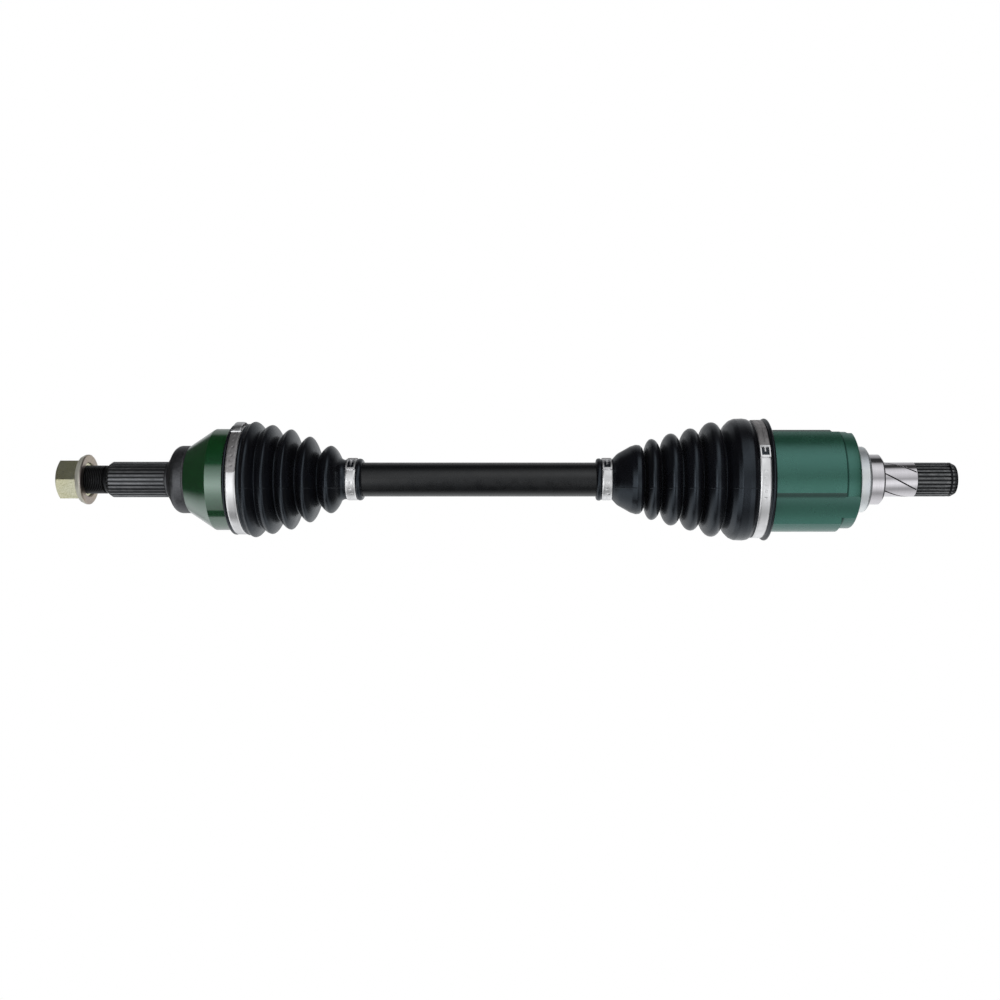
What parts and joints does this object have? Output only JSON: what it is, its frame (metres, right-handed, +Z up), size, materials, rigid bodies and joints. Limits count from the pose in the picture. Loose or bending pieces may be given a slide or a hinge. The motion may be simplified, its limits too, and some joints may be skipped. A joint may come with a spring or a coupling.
{
  "type": "cv axle",
  "caption": "Front drive axle with a fixed ball joint, a plunging tripod joint, two pleated boots, splined stubs and a hub nut.",
  "frame": {"origin": "on the axle's centre line, at the shoulder where the ground journal of the inboard stub starts", "axes": "+X along the axle, inboard, out of the end of the inboard stub; +Z up; the hub nut is at the -X end"},
  "size_m": [0.7584, 0.104, 0.104],
  "materials": {
    "outer_painted_steel": "gloss",
    "inner_painted_steel": "satin",
    "yellow_zinc": "satin",
    "clear_zinc": "satin",
    "black_shaft_paint": "satin",
    "boot_rubber": "matte",
    "clamp_steel": "satin",
    "bearing_steel": "polished",
    "ground_steel": "ground",
    "spring_steel": "oiled"
  },
  "bodies": {
    "inner_housing_body": {"inner_housing": "inner_painted_steel", "dust_shield": "clear_zinc", "stub_circlip": "spring_steel", "inner_boot": "boot_rubber", "inner_boot_clamp_large": "clamp_steel", "inner_boot_insert": "boot_rubber", "thrust_spring": "ground_steel"},
    "thrust_cap_body": {"thrust_cap": "ground_steel"},
    "needles_3_body": {"needle_set_3": "bearing_steel", "roller_retainer_3": "spring_steel"},
    "shaft_body": {"axle_shaft": "black_shaft_paint", "tripod_spider": "ground_steel", "spider_snap_ring": "spring_steel", "needle_set_1": "bearing_steel", "needle_set_2": "bearing_steel", "roller_retainer_1": "spring_steel", "roller_retainer_2": "spring_steel", "inner_race": "ground_steel", "race_snap_ring": "spring_steel", "race_stop_ring": "spring_steel", "outer_boot_clamp_small": "clamp_steel", "inner_boot_clamp_small": "clamp_steel"},
    "roller_1_body": {"tripod_roller_1": "bearing_steel"},
    "roller_2_body": {"tripod_roller_2": "bearing_steel"},
    "roller_3_body": {"tripod_roller_3": "bearing_steel"},
    "ball_4_body": {"joint_ball_4": "bearing_steel"},
    "cage_body": {"ball_cage": "ground_steel", "joint_ball_2": "bearing_steel", "joint_ball_3": "bearing_steel", "joint_ball_5": "bearing_steel", "joint_ball_6": "bearing_steel"},
    "ball_1_body": {"joint_ball_1": "bearing_steel"},
    "outer_race_body": {"outer_race": "outer_painted_steel", "outer_boot": "boot_rubber", "outer_boot_clamp_large": "clamp_steel"},
    "nut_washer_body": {"hub_nut_washer": "clear_zinc"},
    "hub_nut_body": {"hub_nut": "yellow_zinc"}
  },
  "joints": [
    {"name": "inner_plunge", "type": "slide", "parent": "inner_housing_body", "child": "thrust_cap_body", "axis": [1, 0, 0], "range_m": [-0.018, 0.018], "deforming": ["thrust_spring", "inner_boot"]},
    {"name": "inner_pitch", "type": "hinge", "parent": "thrust_cap_body", "child": "needles_3_body", "pos_m": [-0.082, 0, 0], "axis": [0, 0.9962, 0.0872], "range_deg": [-15, 15], "deforming": ["inner_boot"]},
    {"name": "inner_yaw", "type": "hinge", "parent": "needles_3_body", "child": "shaft_body", "pos_m": [-0.082, 0, 0], "axis": [0, -0.0872, 0.9962], "range_deg": [-10, 10], "deforming": ["inner_boot"]},
    {"name": "roller_1_spin", "type": "hinge", "parent": "shaft_body", "child": "roller_1_body", "pos_m": [-0.082, 0, 0], "axis": [0, -0.9063, 0.4226], "range_deg": [-69.67, 69.67]},
    {"name": "roller_2_spin", "type": "hinge", "parent": "shaft_body", "child": "roller_2_body", "pos_m": [-0.082, 0, 0], "axis": [0, 0.8192, 0.5736], "range_deg": [-69.67, 69.67]},
    {"name": "roller_3_spin", "type": "hinge", "parent": "needles_3_body", "child": "roller_3_body", "pos_m": [-0.082, 0, 0], "axis": [0, 0.0872, -0.9962], "range_deg": [-69.67, 69.67]},
    {"name": "outer_yaw", "type": "hinge", "parent": "shaft_body", "child": "ball_4_body", "pos_m": [-0.551, 0, 0], "axis": [0, 0, 1], "range_deg": [-22, 22], "deforming": ["outer_boot"]},
    {"name": "outer_pitch", "type": "hinge", "parent": "ball_4_body", "child": "cage_body", "pos_m": [-0.551, 0, 0], "axis": [0, 1, 0], "range_deg": [-6, 6], "deforming": ["outer_boot"]},
    {"name": "outer_pitch_half", "type": "hinge", "parent": "cage_body", "child": "ball_1_body", "pos_m": [-0.551, 0, 0], "axis": [0, 1, 0], "range_deg": [-6.1, 6.1], "deforming": ["outer_boot"]},
    {"name": "outer_yaw_half", "type": "hinge", "parent": "ball_1_body", "child": "outer_race_body", "pos_m": [-0.551, 0, 0], "axis": [0, 0, 1], "range_deg": [-22.2, 22.2], "deforming": ["outer_boot"]},
    {"name": "washer_travel", "type": "slide", "parent": "outer_race_body", "child": "nut_washer_body", "axis": [1, 0, 0], "range_m": [-0.00901, 0.00901]},
    {"name": "nut_turn", "type": "hinge", "parent": "nut_washer_body", "child": "hub_nut_body", "pos_m": [-0.685, 0, 0], "axis": [1, 0, 0], "range_deg": [-2160, 2160]}
  ],
  "couplings": [
    {"joint": "outer_pitch_half", "follows": "outer_pitch", "ratio": 1},
    {"joint": "outer_yaw_half", "follows": "outer_yaw", "ratio": 1},
    {"joint": "washer_travel", "follows": "nut_turn", "m_per_rad": 0.00023873},
    {"joint": "roller_1_spin", "follows": "inner_plunge", "rad_per_m": 66.225},
    {"joint": "roller_2_spin", "follows": "inner_plunge", "rad_per_m": 66.225},
    {"joint": "roller_3_spin", "follows": "inner_plunge", "rad_per_m": 66.225}
  ]
}
